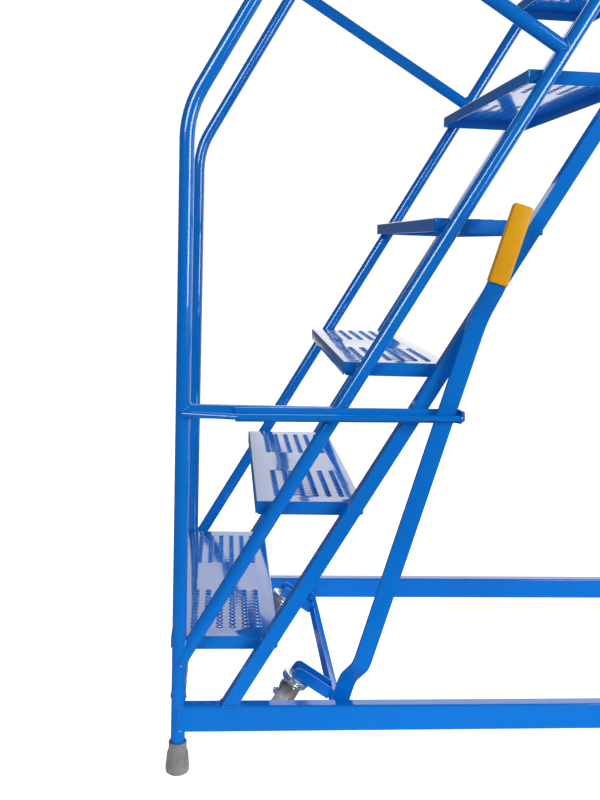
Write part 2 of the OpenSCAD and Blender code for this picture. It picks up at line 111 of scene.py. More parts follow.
class Nodes:
    """A material's node tree, with the few kinds of node that the materials here share."""

    def __init__(self, name):
        self.material = bpy.data.materials.new(name)
        self.material.use_nodes = True
        self.tree = self.material.node_tree
        self.shader = self.tree.nodes["Principled BSDF"]
        self.place = self.add("ShaderNodeTexCoord").outputs["Object"]

    def add(self, kind):
        return self.tree.nodes.new(kind)

    def link(self, source, target):
        self.tree.links.new(source, target)

    def set(self, **values):
        for name, value in values.items():
            self.shader.inputs[name.replace("_", " ")].default_value = value

    def noise(self, scale, detail=2.0, stretch=(1, 1, 1)):
        """Noise over the object's own space: scale is how many cells there are in a metre."""
        mapping = self.add("ShaderNodeMapping")
        mapping.inputs["Scale"].default_value = stretch
        self.link(self.place, mapping.inputs["Vector"])
        texture = self.add("ShaderNodeTexNoise")
        texture.inputs["Scale"].default_value = scale
        texture.inputs["Detail"].default_value = detail
        self.link(mapping.outputs["Vector"], texture.inputs["Vector"])
        return texture.outputs["Fac"]

    def ramp(self, value, stops):
        node = self.add("ShaderNodeValToRGB")
        elements = node.color_ramp.elements
        for i, (place, colour) in enumerate(stops):
            element = elements[i] if i < 2 else elements.new(place)
            element.position = place
            element.color = (*colour, 1)
        self.link(value, node.inputs["Fac"])
        return node.outputs["Color"]

    def range(self, value, low, high):
        """Turns a noise value, mostly from 0.3 to 0.7, into low to high."""
        node = self.add("ShaderNodeMapRange")
        node.inputs["From Min"].default_value = 0.3
        node.inputs["From Max"].default_value = 0.7
        node.inputs["To Min"].default_value = low
        node.inputs["To Max"].default_value = high
        self.link(value, node.inputs["Value"])
        return node.outputs["Result"]

    def bump(self, height, distance, below=None):
        """Bump of the given depth in metres, laid over another bump."""
        node = self.add("ShaderNodeBump")
        node.inputs["Distance"].default_value = distance
        node.inputs["Strength"].default_value = 1.0
        self.link(height, node.inputs["Height"])
        if below is not None:
            self.link(below, node.inputs["Normal"])
        return node.outputs["Normal"]

    def finish(self, colour=None, roughness=None, normal=None, coat_normal=None):
        for source, name in (
            (colour, "Base Color"),
            (roughness, "Roughness"),
            (normal, "Normal"),
            (coat_normal, "Coat Normal"),
        ):
            if source is not None:
                self.link(source, self.shader.inputs[name])
        return self.material


PAINT_DARK = (0.0, 0.134, 0.53)
PAINT_LIGHT = (0.0, 0.156, 0.585)


def paint(name, waviness, wave_scale=7):
    """Glossy blue powder coat. waviness is how far the sheet under it is out of true, in metres."""
    n = Nodes(name)
    colour = n.ramp(n.noise(3.5), [(0.3, PAINT_DARK), (0.7, PAINT_LIGHT)])
    waves = n.bump(n.noise(wave_scale, 1), waviness)
    peel = n.bump(n.noise(240, 1), 0.004 * MM, waves)
    n.set(IOR=1.5, Coat_Weight=0.6, Coat_Roughness=0.04, Coat_IOR=1.5)
    return n.finish(colour, n.range(n.noise(40), 0.09, 0.15), peel, peel)


def weld_paint():
    n = Nodes("weld_paint")
    colour = n.ramp(n.noise(60), [(0.3, PAINT_DARK), (0.7, PAINT_LIGHT)])
    lumps = n.bump(n.noise(900, 3), 0.12 * MM)
    n.set(IOR=1.58, Coat_Weight=0.5, Coat_Roughness=0.08)
    return n.finish(colour, n.range(n.noise(300), 0.1, 0.25), lumps)


def rubber(name, dark, light, roughness=0.62):
    """Moulded rubber: matt, with a fine grain and faint dust in patches."""
    n = Nodes(name)
    colour = n.ramp(n.noise(45, 4), [(0.35, dark), (0.7, light)])
    grain = n.bump(n.noise(2200, 3), 0.05 * MM)
    n.set(IOR=1.5)
    return n.finish(colour, n.range(n.noise(80), roughness - 0.08, roughness + 0.08), grain)


def vinyl():
    n = Nodes("grip_vinyl")
    deep, bright = (0.62, 0.29, 0.001), (0.74, 0.37, 0.001)
    colour = n.ramp(n.noise(9, 2), [(0.35, deep), (0.7, bright)])
    skin = n.bump(n.noise(30, 2), 0.10 * MM)
    grain = n.bump(n.noise(1500, 2), 0.006 * MM, skin)
    n.set(IOR=1.46, Specular_IOR_Level=0.28, Subsurface_Weight=0.08, Subsurface_Scale=0.002)
    n.shader.inputs["Subsurface Radius"].default_value = (1.0, 0.5, 0.1)
    return n.finish(colour, n.range(n.noise(60, 3), 0.28, 0.42), grain)


def zinc():
    """Bright zinc plate with the faint yellow and blue of its passivation."""
    n = Nodes("zinc_plate")
    hues = [(0.25, (0.74, 0.78, 0.82)), (0.5, (0.83, 0.84, 0.82)), (0.75, (0.84, 0.80, 0.70))]
    colour = n.ramp(n.noise(28, 3), hues)
    brushed = n.bump(n.noise(700, 4, (1, 1, 0.15)), 0.0015 * MM)
    n.set(Metallic=0.85)
    return n.finish(colour, n.range(n.noise(160, 3), 0.16, 0.28), brushed)


def plastic(name, dark, light):
    n = Nodes(name)
    colour = n.ramp(n.noise(60, 2), [(0.35, dark), (0.7, light)])
    grain = n.bump(n.noise(1800, 2), 0.02 * MM)
    n.set(IOR=1.49)
    return n.finish(colour, n.range(n.noise(90), 0.38, 0.5), grain)


PAINT = paint("frame_paint", 0.05 * MM)
TREAD_PAINT = paint("tread_paint", 0.55 * MM, 8)
WELD = weld_paint()
FOOT_RUBBER = rubber("foot_rubber", (0.165, 0.155, 0.150), (0.225, 0.215, 0.208))
CASTOR_RUBBER = rubber("castor_rubber", (0.40, 0.36, 0.32), (0.52, 0.47, 0.42), 0.30)
WHEEL_RUBBER = rubber("wheel_rubber", (0.19, 0.185, 0.18), (0.25, 0.245, 0.24), 0.58)
WHEEL_CENTRE = plastic("wheel_centre", (0.012, 0.012, 0.013), (0.022, 0.022, 0.024))
VINYL = vinyl()
ZINC = zinc()

# ---- mesh tools ----


class Shape:
    """Points and faces gathered bit by bit, then made into one piece."""

    def __init__(self):
        self.points = []
        self.faces = []

    def add(self, points, faces):
        start = len(self.points)
        self.points += [Vector(p) for p in points]
        self.faces += [[start + i for i in face] for face in faces]

    def loft(self, rings, ends=True, joined=False):
        """Skin over rings of equally many points; joined closes the last ring onto the first."""
        count = len(rings[0])
        start = len(self.points)
        for ring in rings:
            self.points += [Vector(p) for p in ring]
        spans = len(rings) if joined else len(rings) - 1
        for i in range(spans):
            a = start + i * count
            b = start + (i + 1) % len(rings) * count
            for k in range(count):
                k2 = (k + 1) % count
                self.faces.append([a + k, a + k2, b + k2, b + k])
        if ends and not joined:
            self.faces.append([start + k for k in reversed(range(count))])
            last = start + (len(rings) - 1) * count
            self.faces.append([last + k for k in range(count)])

    def fill(self, outline, holes=()):
        """A flat face with round holes in it."""
        loops = [outline, *holes]
        triangles = tessellate_polygon([[Vector(p) for p in loop] for loop in loops])
        self.add([p for loop in loops for p in loop], triangles)

    def make(self, name, material, body, stands_for=(), crease=32):
        """Makes the piece, smooth except at edges sharper than crease degrees."""
        mesh = bpy.data.meshes.new(name)
        mesh.from_pydata(self.points, [], self.faces)
        tidy_mesh(mesh)
        mesh.polygons.foreach_set("use_smooth", [True] * len(mesh.polygons))
        mesh.set_sharp_from_angle(angle=math.radians(crease))
        mesh.materials.append(material)
        piece = bpy.data.objects.new(name, mesh)
        bpy.context.scene.collection.objects.link(piece)
        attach(piece, body)
        if stands_for:
            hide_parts(*stands_for)
        return piece


def tidy_mesh(mesh):
    """Merges doubled points and turns every face outwards."""
    bm = bmesh.new()
    bm.from_mesh(mesh)
    bmesh.ops.remove_doubles(bm, verts=bm.verts, dist=0.002 * MM)
    bmesh.ops.dissolve_degenerate(bm, edges=bm.edges, dist=0.001 * MM)
    bmesh.ops.recalc_face_normals(bm, faces=bm.faces)
    bm.to_mesh(mesh)
    bm.free()


def ring(centre, axis, radius, count=32, start=None):
    """Points of a circle about an axis."""
    axis = axis.normalized()
    u = start if start is not None else axis.orthogonal().normalized()
    v = axis.cross(u)
    turns = [2 * math.pi * i / count for i in range(count)]
    return [centre + radius * (math.cos(t) * u + math.sin(t) * v) for t in turns]


def corner_arc(cx, cy, radius, start, end, steps):
    """Points of an arc in 2-D, angles in degrees."""
    angles = [math.radians(start + (end - start) * i / steps) for i in range(steps + 1)]
    return [(cx + radius * math.cos(a), cy + radius * math.sin(a)) for a in angles]


def round_rect(w, h, radius, steps=4):
    """Outline of a rectangle with round corners, centred, in 2-D."""
    x, y = w / 2 - radius, h / 2 - radius
    places = [(x, y, 0), (-x, y, 90), (-x, -y, 180), (x, -y, 270)]
    return [p for cx, cy, a in places for p in corner_arc(cx, cy, radius, a, a + 90, steps)]


def placed(outline, centre, u, v):
    """A 2-D outline set into space."""
    return [centre + a * u + b * v for a, b in outline]


def lathe(shape, profile, centre, axis, count=48, start=None, ends=False):
    """Turns a profile of (radius, distance along the axis) about an axis."""
    axis = axis.normalized()
    rings = [ring(centre + axis * along, axis, r, count, start) for r, along in profile]
    shape.loft(rings, ends=ends, joined=not ends)


def bent_path(corners, radii, step=math.radians(4)):
    """Points along straights joined by arcs; radii are those of the inner corners."""
    points = [Vector(corners[0])]
    for i in range(1, len(corners) - 1):
        before, corner, after = (Vector(corners[j]) for j in (i - 1, i, i + 1))
        d1, d2 = (corner - before).normalized(), (after - corner).normalized()
        turn = d1.angle(d2)
        radius = radii[i - 1]
        reach = radius * math.tan(turn / 2)
        side = (d2 - d1 * d1.dot(d2)).normalized()
        start = corner - d1 * reach
        centre = start + side * radius
        steps = max(2, math.ceil(turn / step))
        for k in range(steps + 1):
            t = turn * k / steps
            points.append(centre - side * radius * math.cos(t) + d1 * radius * math.sin(t))
    points.append(Vector(corners[-1]))
    return points


def tangents(path, joined=False):
    count = len(path)
    found = []
    for i in range(count):
        after = path[(i + 1) % count] if joined else path[min(i + 1, count - 1)]
        before = path[i - 1] if joined else path[max(i - 1, 0)]
        found.append((after - before).normalized())
    return found


def swept(shape, path, outline, side):
    """Sweeps a 2-D outline along a flat path; side is the path plane's normal."""
    rings = []
    for point, along in zip(path, tangents(path)):
        across = along.cross(side).normalized()
        rings.append(placed(outline, point, side, across))
    shape.loft(rings)


# ---- welds ----

STILE_CORNER, RAIL_CORNER = 1 * MM, 4 * MM
BEAD_R = 2.1 * MM
BEAD_STEP = 1.15 * MM
RIPPLE = 3.6 * MM
weld_noise = random.Random(11)


def plane_hit(point, normal):
    return lambda p, d: p + d * ((point - p).dot(normal) / d.dot(normal))


def tube_hit(centre, axis, radius=TUBE_R):
    """First place where a line meets a tube, or where it passes nearest."""

    def hit(p, d):
        a = axis.normalized()
        gap = p - centre
        gap -= a * gap.dot(a)
        run = d - a * d.dot(a)
        square = run.dot(run)
        half = gap.dot(run)
        root = max(half * half - square * (gap.dot(gap) - radius * radius), 0)
        return p + d * ((-half - math.sqrt(root)) / square)

    return hit


def tube_end(centre, direction, hit, radius=TUBE_R):
    """The line round a tube's end where it meets a surface."""
    return [hit(p, direction) for p in ring(centre, direction, radius, 96)]


def bar_end(centre, direction, u, v, w, h, corner, hit):
    """The line round a box tube's end where it meets a surface."""
    outline = placed(round_rect(w, h, corner, 6), centre, u, v)
    return [hit(p, direction) for p in outline]


def resample(line, step, closed):
    points = [*line, line[0]] if closed else list(line)
    lengths = [0.0]
    for a, b in zip(points, points[1:]):
        lengths.append(lengths[-1] + (b - a).length)
    count = max(4, round(lengths[-1] / step))
    found, i = [], 0
    for k in range(count if closed else count + 1):
        at = lengths[-1] * k / count
        while i < len(lengths) - 2 and lengths[i + 1] < at:
            i += 1
        span = max(lengths[i + 1] - lengths[i], 1e-9)
        found.append(points[i].lerp(points[i + 1], min((at - lengths[i]) / span, 1)))
    return found


def bead(shape, line, radius=BEAD_R, closed=True):
    """A weld bead along a line: a cord with the ripples of its run."""
    path = resample(line, BEAD_STEP, closed)
    along = tangents(path, closed)
    u = along[0].orthogonal().normalized()
    rings = []
    phase = weld_noise.random() * RIPPLE
    wobble = 1.0
    for i, (point, t) in enumerate(zip(path, along)):
        u = (u - t * u.dot(t)).normalized()
        wobble += (1 - wobble) * 0.3 + weld_noise.uniform(-0.06, 0.06)
        swell = 1 + 0.13 * math.cos(2 * math.pi * (i * BEAD_STEP + phase) / RIPPLE)
        end = 1.0
        if not closed:
            end = min(1.0, 0.45 + 0.3 * min(i, len(path) - 1 - i))
        rings.append(ring(point, t, radius * swell * wobble * end, 8, u))
    shape.loft(rings, ends=not closed, joined=closed)


class SideFrame:
    """The surfaces of one side frame that its welds run along."""

    def __init__(self, side):
        self.y = SIDES[side]
        self.cross = -Y * INWARD[side]
        self.post = tube_hit(self.at(POST_X, 0), Z)
        self.leg = tube_hit(self.at(LEG_X, 0), Z)
        self.upright = tube_hit(self.at(UPRIGHT_X, 0), Z)
        self.stile = tube_hit(self.at(front_x(0), 0), UP_STAIR)
        self.handrail = tube_hit(self.at(handrail_x(0), 0), UP_STAIR)
        self.inner_face = plane_hit(self.at(0, 0) + Y * INWARD[side] * TUBE_R, Y)

    def at(self, x, z):
        return Vector((x, self.y, z))


def level(z):
    return plane_hit(Vector((0, 0, z)), Z)


def stair_welds(shape, f):
    """Front stile and strut to the post, the platform rail and the handrail."""
    strut_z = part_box("right_strut")[0].z + TUBE_R / 2
    strut_dir = Vector((-math.sin(SLOPE), 0, math.cos(SLOPE)))
    bead(shape, tube_end(f.at(front_x(0.5), 0.5), -UP_STAIR, f.post))
    bead(shape, tube_end(f.at(front_x(1.5), 1.5), UP_STAIR, level(PLATFORM_RAIL_LOW)))
    halfway = f.at(front_x(strut_z), strut_z) + strut_dir * HANDRAIL_GAP * math.sin(SLOPE) / 2
    bead(shape, tube_end(halfway, strut_dir, f.handrail))
    bead(shape, tube_end(halfway, -strut_dir, f.stile))


def box_tube_welds(shape, f):
    """Rear stile, base rail and platform rail, which are box tubes."""
    bar = (Y, UP_STAIR.cross(Y), 2 * TUBE_R, 2 * TUBE_R, STILE_CORNER)
    bead(shape, bar_end(f.at(rear_x(0.5), 0.5), -UP_STAIR, *bar, level(RAIL_TOP)))
    bead(shape, bar_end(f.at(rear_x(1.5), 1.5), UP_STAIR, *bar, level(PLATFORM_RAIL_LOW)))
    rail = (Y, Z, 2 * TUBE_R, RAIL_TOP - RAIL_LOW, RAIL_CORNER)
    bead(shape, bar_end(f.at(0.3, RAIL_MID), -X, *rail, f.post))
    platform_mid = (PLATFORM_RAIL_LOW + PLATFORM_Z) / 2
    bead(shape, bar_end(f.at(1.1, platform_mid), X, *rail, f.leg))


def guard_welds(shape, f):
    """Rear leg, upright and mid guard rail."""
    mid_z = middle("right_mid_rail").z
    bead(shape, tube_end(f.at(LEG_X, 0.4), -Z, level(RAIL_TOP)))
    bead(shape, tube_end(f.at(LEG_X, 2), -Z, level(PLATFORM_Z)))
    bead(shape, tube_end(f.at(UPRIGHT_X, 2), -Z, level(PLATFORM_Z)))
    bead(shape, tube_end(f.at(UPRIGHT_X, 2), Z, f.handrail))
    bead(shape, tube_end(f.at(1.1, mid_z), -X, f.upright))
    bead(shape, tube_end(f.at(1.1, mid_z), X, f.leg))


def cross_welds(shape, f):
    """Ends of the tubes that run from one side frame to the other."""
    inside = Y * 0.3
    cross_z = middle("front_cross_tube").z
    bead(shape, tube_end(X * POST_X + inside + Z * cross_z, f.cross, f.post))
    for node in ("leg_crossbars", "rear_guard_rails"):
        low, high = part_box(node)
        for z in (low.z + TUBE_R, high.z - TUBE_R):
            bead(shape, tube_end(X * LEG_X + inside + Z * z, f.cross, f.leg))
    across = (X, Z, 2 * TUBE_R, RAIL_TOP - RAIL_LOW, RAIL_CORNER)
    bead(shape, bar_end(X * LEG_X + inside + Z * RAIL_MID, f.cross, *across, f.inner_face))


def frame_welds():
    """Every weld of the fixed frame, as one piece."""
    shape = Shape()
    for side in SIDES:
        f = SideFrame(side)
        stair_welds(shape, f)
        box_tube_welds(shape, f)
        guard_welds(shape, f)
        cross_welds(shape, f)
    right = SideFrame("right")
    guide_mid = right.at(0.15, GUIDE_Z)
    bead(shape, tube_end(guide_mid, -X, right.post))
    bead(shape, tube_end(guide_mid, X, right.stile))
    shape.make("frame_welds", WELD, "frame", crease=180)


# ---- treads and platform deck ----

SLOT_FIRST = 40 * MM
SLOT_LAST = 30 * MM  # least distance from the last row to the back
ROW_PITCH = 23.8 * MM
BAND_MARGIN = 36 * MM
BAND_LENGTH = 190 * MM
HOLES = 12
EDGE_R = 3 * MM
CORNER_R = 3 * MM


def tray(name, node, material):
    """A folded sheet tray with rows of punched holes whose rims stand up for grip."""
    low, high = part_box(node)
    shape = Shape()
    tray_top(shape, low, high)
    tray_skirt(shape, low, high)
    shape.make(name, material, "frame", (node,), crease=50)


def hole_centres(low, high):
    """Middles of the punched holes: rows from nose to back, in a band at each side."""
    rows = math.floor((high.x - low.x - SLOT_FIRST - SLOT_LAST) / ROW_PITCH) + 1
    pitch = BAND_LENGTH / HOLES
    bands = (low.y + BAND_MARGIN, high.y - BAND_MARGIN - BAND_LENGTH)
    return [
        Vector((low.x + SLOT_FIRST + row * ROW_PITCH, band + (hole + 0.5) * pitch, high.z))
        for row in range(rows)
        for band in bands
        for hole in range(HOLES)
    ]


def tray_top(shape, low, high):
    # Rings of one hole from its rim down: radius, height above the sheet's top, in millimetres.
    rim = [(7.2, 0), (6.5, 0.05), (5.5, 1.1), (4.9, 1.65), (4.4, 1.7), (4.1, 1.3), (4.2, -0.6)]
    below = [(6.2, -2.0), (7.2, -2.0)]
    profile = [(r * MM, h * MM) for r, h in rim + below]
    tops, bottoms = [], []
    for centre in hole_centres(low, high):
        rings = [ring(centre + Z * h, Z, r, 14, X) for r, h in profile]
        shape.loft(rings, ends=False)
        tops.append(rings[0])
        bottoms.append(rings[-1])
    for z, holes in ((high.z, tops), (high.z - SHEET, bottoms)):
        shape.fill([p for p, _, _ in tray_edge(low, high, z)], holes)


def tray_edge(low, high, z):
    """Stations round the tray's flat top: point, outward direction, height of the lip's corner."""
    near = [0, 0.4, 1.2, 2.4, 3.8, 5]
    ends = [s * MM for s in near]
    corners = [
        Vector((low.x + EDGE_R, low.y + EDGE_R, z)),
        Vector((high.x - EDGE_R, low.y + EDGE_R, z)),
        Vector((high.x - EDGE_R, high.y - EDGE_R, z)),
        Vector((low.x + EDGE_R, high.y - EDGE_R, z)),
    ]
    stations = []
    for i, corner in enumerate(corners):
        following = corners[(i + 1) % 4]
        along = (following - corner).normalized()
        out = along.cross(Z)
        length = (following - corner).length
        for s in [*ends, *(length - s for s in reversed(ends))]:
            reach = CORNER_R - min(s, length - s, CORNER_R)
            lift = CORNER_R - math.sqrt(CORNER_R**2 - reach**2)
            stations.append((corner + along * s, out, lift))
    return stations


def skirt_profile(foot):
    """Section of the folded edge down to its foot: distance outwards and height."""
    inner_r, soft = EDGE_R - SHEET, 0.5 * MM
    arc = [math.radians(a) for a in (90, 67.5, 45, 22.5, 0)]
    outer = [(EDGE_R * math.cos(a), EDGE_R * (math.sin(a) - 1)) for a in arc]
    inner = [(inner_r * math.cos(a), inner_r * math.sin(a) - EDGE_R) for a in reversed(arc)]
    lip = [(EDGE_R, foot + soft), (EDGE_R - soft, foot)]
    lip += [(inner_r + soft, foot), (inner_r, foot + soft)]
    return outer + lip + inner


def tray_skirt(shape, low, high):
    """The edge folded down all round; it fans out round the tray's corners."""
    stations = tray_edge(low, high, high.z)
    rings = []
    for i, (point, out, lift) in enumerate(stations):
        fan = [out]
        following = stations[(i + 1) % len(stations)]
        if (following[0] - point).length < 1e-9:
            fan += [out.lerp(following[1], k / 4).normalized() for k in (1, 2, 3)]
        profile = skirt_profile(low.z - high.z + lift)
        rings += [[point + direction * o + Z * h for o, h in profile] for direction in fan]
    start, spans, count = len(shape.points), len(rings), len(rings[0])
    for points in rings:
        shape.points += points
    for i in range(spans):
        a, b = start + i * count, start + (i + 1) % spans * count
        shape.faces += [[a + k, b + k, b + k + 1, a + k + 1] for k in range(count - 1)]


# ---- lever and grip ----

PIVOT = Vector((middle("pivot_bushes").x, 0, middle("pivot_bushes").z))
LEVER_LEAN = math.radians(15.5)
LEVER_DIR = Vector((math.sin(LEVER_LEAN), 0, math.cos(LEVER_LEAN)))
LEVER_SIDE = Vector((math.cos(LEVER_LEAN), 0, -math.sin(LEVER_LEAN)))
LEVER_W = 32 * MM
LEVER_T = 8 * MM
LEVER_IN = 30 * MM
LEVER_MID = -28 * MM
LEVER_TOP = -66 * MM


def on_lever(distance, y):
    return PIVOT + LEVER_DIR * distance + Y * y


def hand_lever():
    """Flat bar with two S-bends and a round eye at the pivot."""
    corners = [(0, LEVER_IN), (63, LEVER_IN), (117, LEVER_MID)]
    corners += [(772, LEVER_MID), (832, LEVER_TOP), (965, LEVER_TOP)]
    corners = [on_lever(distance * MM, y) for distance, y in corners]
    radii = [36 * MM, 36 * MM, 90 * MM, 40 * MM]
    shape = Shape()
    outline = round_rect(LEVER_W, LEVER_T, 1.2 * MM, 3)
    swept(shape, bent_path(corners, radii), outline, LEVER_SIDE)
    eye_r = LEVER_W / 2 + 2 * MM
    half = LEVER_T / 2
    soft = 1.2 * MM
    profile = [(0, -half), (eye_r - soft, -half), (eye_r, -half + soft)]
    profile += [(eye_r, half - soft), (eye_r - soft, half), (0, half)]
    turned = Shape()
    lathe(turned, profile, on_lever(0, LEVER_IN), Y, 64)
    shape.add(turned.points, turned.faces)
    shape.make("hand_lever_bar", PAINT, "lever_carriage", ("hand_lever",))


def lever_grip():
    """Dipped vinyl sleeve, thicker than the bar, with a soft rounded end."""
    low, high = 835 * MM, 970 * MM
    w, t, corner = 35 * MM, 16 * MM, 5 * MM
    dome = 6.5 * MM
    shape = Shape()
    stations = [(low, -1.6), (low + 0.4 * MM, -0.5), (low + 1.2 * MM, 0), (low + 4 * MM, 0)]
    stations += [(low + 40 * MM, -0.2), (low + 90 * MM, -0.1), (high - dome, 0)]
    for k in range(1, 7):
        a = math.pi / 2 * k / 6
        stations.append((high - dome * (1 - math.sin(a)), -dome / MM * (1 - math.cos(a))))
    rings = []
    for distance, grow in stations:
        g = grow * MM
        outline = round_rect(w + 2 * g, t + 2 * g, max(corner + g, 0.6 * MM), 5)
        rings.append(placed(outline, on_lever(distance, LEVER_TOP), LEVER_SIDE, Y))
    shape.loft(rings)
    shape.make("lever_grip_sleeve", VINYL, "lever_carriage", ("lever_grip",), 60)


# ---- feet ----


FOOT_H = 60 * MM
FOOT_RIBS = 8
GROOVE_DEPTH = 1.1 * MM
GROOVE_HALF = math.radians(5)


def in_groove(angle, height):
    """Whether a place on the ferrule's side lies in one of its upright grooves."""
    pitch = 2 * math.pi / FOOT_RIBS
    off = (angle + pitch / 2) % pitch - pitch / 2
    return abs(off) < GROOVE_HALF and 17.5 * MM < height < 39 * MM


def rubber_foot(side):
    """Ribbed ferrule pushed on to the end of a post."""
    low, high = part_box(side + "_foot")
    centre = middle(side + "_foot")
    base = Vector((centre.x, centre.y, low.z))
    stretch = (high.z - low.z) / FOOT_H
    # Radius and height in millimetres: sole, body, neck, lip, and the bore down to the post.
    outline = [(0, 0), (15, 0), (18.6, 0.7), (20.8, 2.6), (21.5, 5.5), (21.5, 15.2), (21.1, 16)]
    outline += [(20.8, 16.8), (20.7, 18), (20.4, 24), (19.9, 32), (19.1, 38), (17.9, 41.3)]
    outline += [(16.9, 43.4), (16.5, 46), (16.4, 52), (16.5, 57), (16.3, 59.2), (15.6, 60)]
    outline += [(14.2, 60), (13.3, 59.4), (12.9, 58), (12.8, 50)]
    turns = [2 * math.pi * i / 96 for i in range(96)]
    rings = []
    for r, h in outline:
        radii = [r * MM - (GROOVE_DEPTH if in_groove(a, h * MM) else 0) for a in turns]
        around = [X * math.cos(a) * q + Y * math.sin(a) * q for a, q in zip(turns, radii)]
        rings.append([base + p + Z * h * MM * stretch for p in around])
    shape = Shape()
    shape.loft(rings, ends=False)
    shape.make(side + "_foot_ferrule", FOOT_RUBBER, "frame", (side + "_foot",), 40)


# ---- lever guide ----


STRAP_T, STRAP_H = 5 * MM, 25 * MM
STRAP_Y = -TUBE_R - STRAP_T / 2
STRAP_Z = 668.8 * MM  # height of the strap's middle at the post's axis
STRAP_RISE = math.radians(0.7)
STRAP_START, STRAP_BACK = 90 * MM, 484 * MM - STRAP_T / 2
STRAP_BEND = 9 * MM
ROD_R, ROD_Y = 5 * MM, -40 * MM
ROD_BEND_X, ROD_BEND = 95 * MM, 40 * MM


def strap_end(left):
    """Bottom and top of the strap where its bent end has so far still to go to the rod."""
    half, taper, soft = STRAP_H / 2, 16 * MM, 5 * MM
    past = min(max(-left, 0), soft)
    cut = soft - math.sqrt(soft**2 - past**2)
    low = -ROD_R - (half - ROD_R) * min(max(left, 0) / taper, 1)
    return low + cut / 2, half - 1.5 * cut


def guide_strap(shape):
    """The flat strap: its end turns outwards, narrows from below and is round at its tip."""
    corners = [(STRAP_START, STRAP_Y, 0), (STRAP_BACK, STRAP_Y, 0), (STRAP_BACK, ROD_Y, 0)]
    path = bent_path(corners, [STRAP_BEND])
    path += [Vector((STRAP_BACK, ROD_Y - k * MM, 0)) for k in (1, 2, 3, 4, 4.8)]
    rings = []
    for point, along in zip(path, tangents(path)):
        low, top = strap_end(point.y - ROD_Y)
        outline = round_rect(top - low, STRAP_T, 0.8 * MM, 3)
        rings.append(placed(outline, point + Z * (low + top) / 2, Z, along.cross(Z)))
    shape.loft(rings)


def guide_rod(shape):
    rod = [(0, -TUBE_R - ROD_R / 2, 0), (ROD_BEND_X, ROD_Y, 0), (STRAP_BACK, ROD_Y, 0)]
    path = bent_path(rod, [ROD_BEND])
    shape.loft([ring(p, t, ROD_R, 24, Z) for p, t in zip(path, tangents(path))])


def lever_guide():
    """Flat strap outside the frame, bent outwards at its end, and the rod back to the post."""
    shape = Shape()
    guide_strap(shape)
    guide_rod(shape)
    post = Vector((0, SIDES["right"], STRAP_Z))
    turn = Matrix.Rotation(-STRAP_RISE, 4, "Y")
    shape.points = [post + turn @ p for p in shape.points]
    rod_end = post + turn @ Vector((STRAP_BACK, ROD_Y, 0)) - X * STRAP_T / 2
    bead(shape, ring(rod_end, X, ROD_R, 24), 1.6 * MM)
    name = "lever_guide_strap"
    shape.make("lever_guide_bars", PAINT, "frame", (name,), 40)


# ---- castors ----

CASTOR_T = 2.5 * MM
CASTOR_WHEEL_R = 37.5 * MM
CASTOR_WHEEL_W = 25 * MM
FORK_Y = CASTOR_WHEEL_W / 2 + 2.75 * MM  # from the wheel's middle plane to a leg's middle
FORK_ROOF = -14.5 * MM
FORK_BEND = 6 * MM
FORK_EYE_R = 12.5 * MM
CROWN_BACK, CROWN_FRONT = 24 * MM, 25 * MM


def joint(name):
    """Place and axis of a CAD joint."""
    found = next(j for j in frame["joints"] if j["name"] == name)
    return Vector(found["pos_m"]), Vector(found["axis"]).normalized()


class Castor:
    """A castor's own frame at rest: swivel axis, hub, and the directions between them."""

    def __init__(self, side):
        self.side = side
        self.top, self.up = joint(side + "_castor_swivel")
        self.hub, self.across = joint(side + "_castor_roll")
        reach = self.hub - self.top
        self.drop = -reach.dot(self.up)
        self.along = (reach + self.up * self.drop).normalized()
        self.trail = reach.dot(self.along)

    def at(self, along, across, up):
        return self.top + self.along * along + self.across * across + self.up * up


def hexagon(shape, centre, axis, flat, thick, start):
    """Nut or bolt head with its corners chamfered."""
    soft = 0.8 * MM
    sizes = [(0, 0.92), (soft, 1.0), (thick - soft, 1.0), (thick, 0.92)]
    rings = [ring(centre + axis * h, axis, flat / math.sqrt(3) * k, 6, start) for h, k in sizes]
    shape.loft(rings)


def castor_raceways():
    """The fixed half of each swivel: a pressed disc, the kingpin and its nuts."""
    shape = Shape()
    for side in SIDES:
        c = Castor(side)
        disc = [(6, 0), (21, 0), (24, -0.6), (27.2, -2.6), (28, -3.6), (28, -5.6), (27.2, -6.4)]
        disc += [(25.6, -6.6), (25, -7), (6, -7)]
        lathe(shape, [(r * MM, h * MM) for r, h in disc], c.top, c.up, 64)
        pin = [(0, -20), (5.2, -20), (6, -19), (6, 13), (5.2, 14), (0, 14)]
        lathe(shape, [(r * MM, h * MM) for r, h in pin], c.top, c.up, 32)
        washer = [(6, 3), (12, 3), (12.4, 3.4), (12.4, 4.6), (12, 5), (6, 5)]
        lathe(shape, [(r * MM, h * MM) for r, h in washer], c.top, c.up, 40)
        hexagon(shape, c.top + c.up * 5 * MM, c.up, 19 * MM, 8 * MM, c.along)
        hexagon(shape, c.top - c.up * 20 * MM, c.up, 15 * MM, 3.5 * MM, c.along)
    shape.make("castor_raceways", ZINC, "lever_carriage", ("castor_kingpins",), 30)


def fork_path(base):
    """Middle line of a fork leg seen from the front: crown, fold, leg, eye round the axle."""
    bend_y, bend_z = FORK_Y - FORK_BEND, FORK_ROOF - FORK_BEND
    fold = corner_arc(bend_y, bend_z, FORK_BEND, 90, 0, 6)
    leg = [(FORK_Y, bend_z + (base - bend_z) * k / 6) for k in range(1, 6)]
    turns = [math.radians(a) for a in (0, 20, 40, 55, 70, 80, 86)]
    eye = [(FORK_Y, base - FORK_EYE_R * math.sin(a)) for a in turns]
    return [(8 * MM, FORK_ROOF), *fold, *leg, *eye]


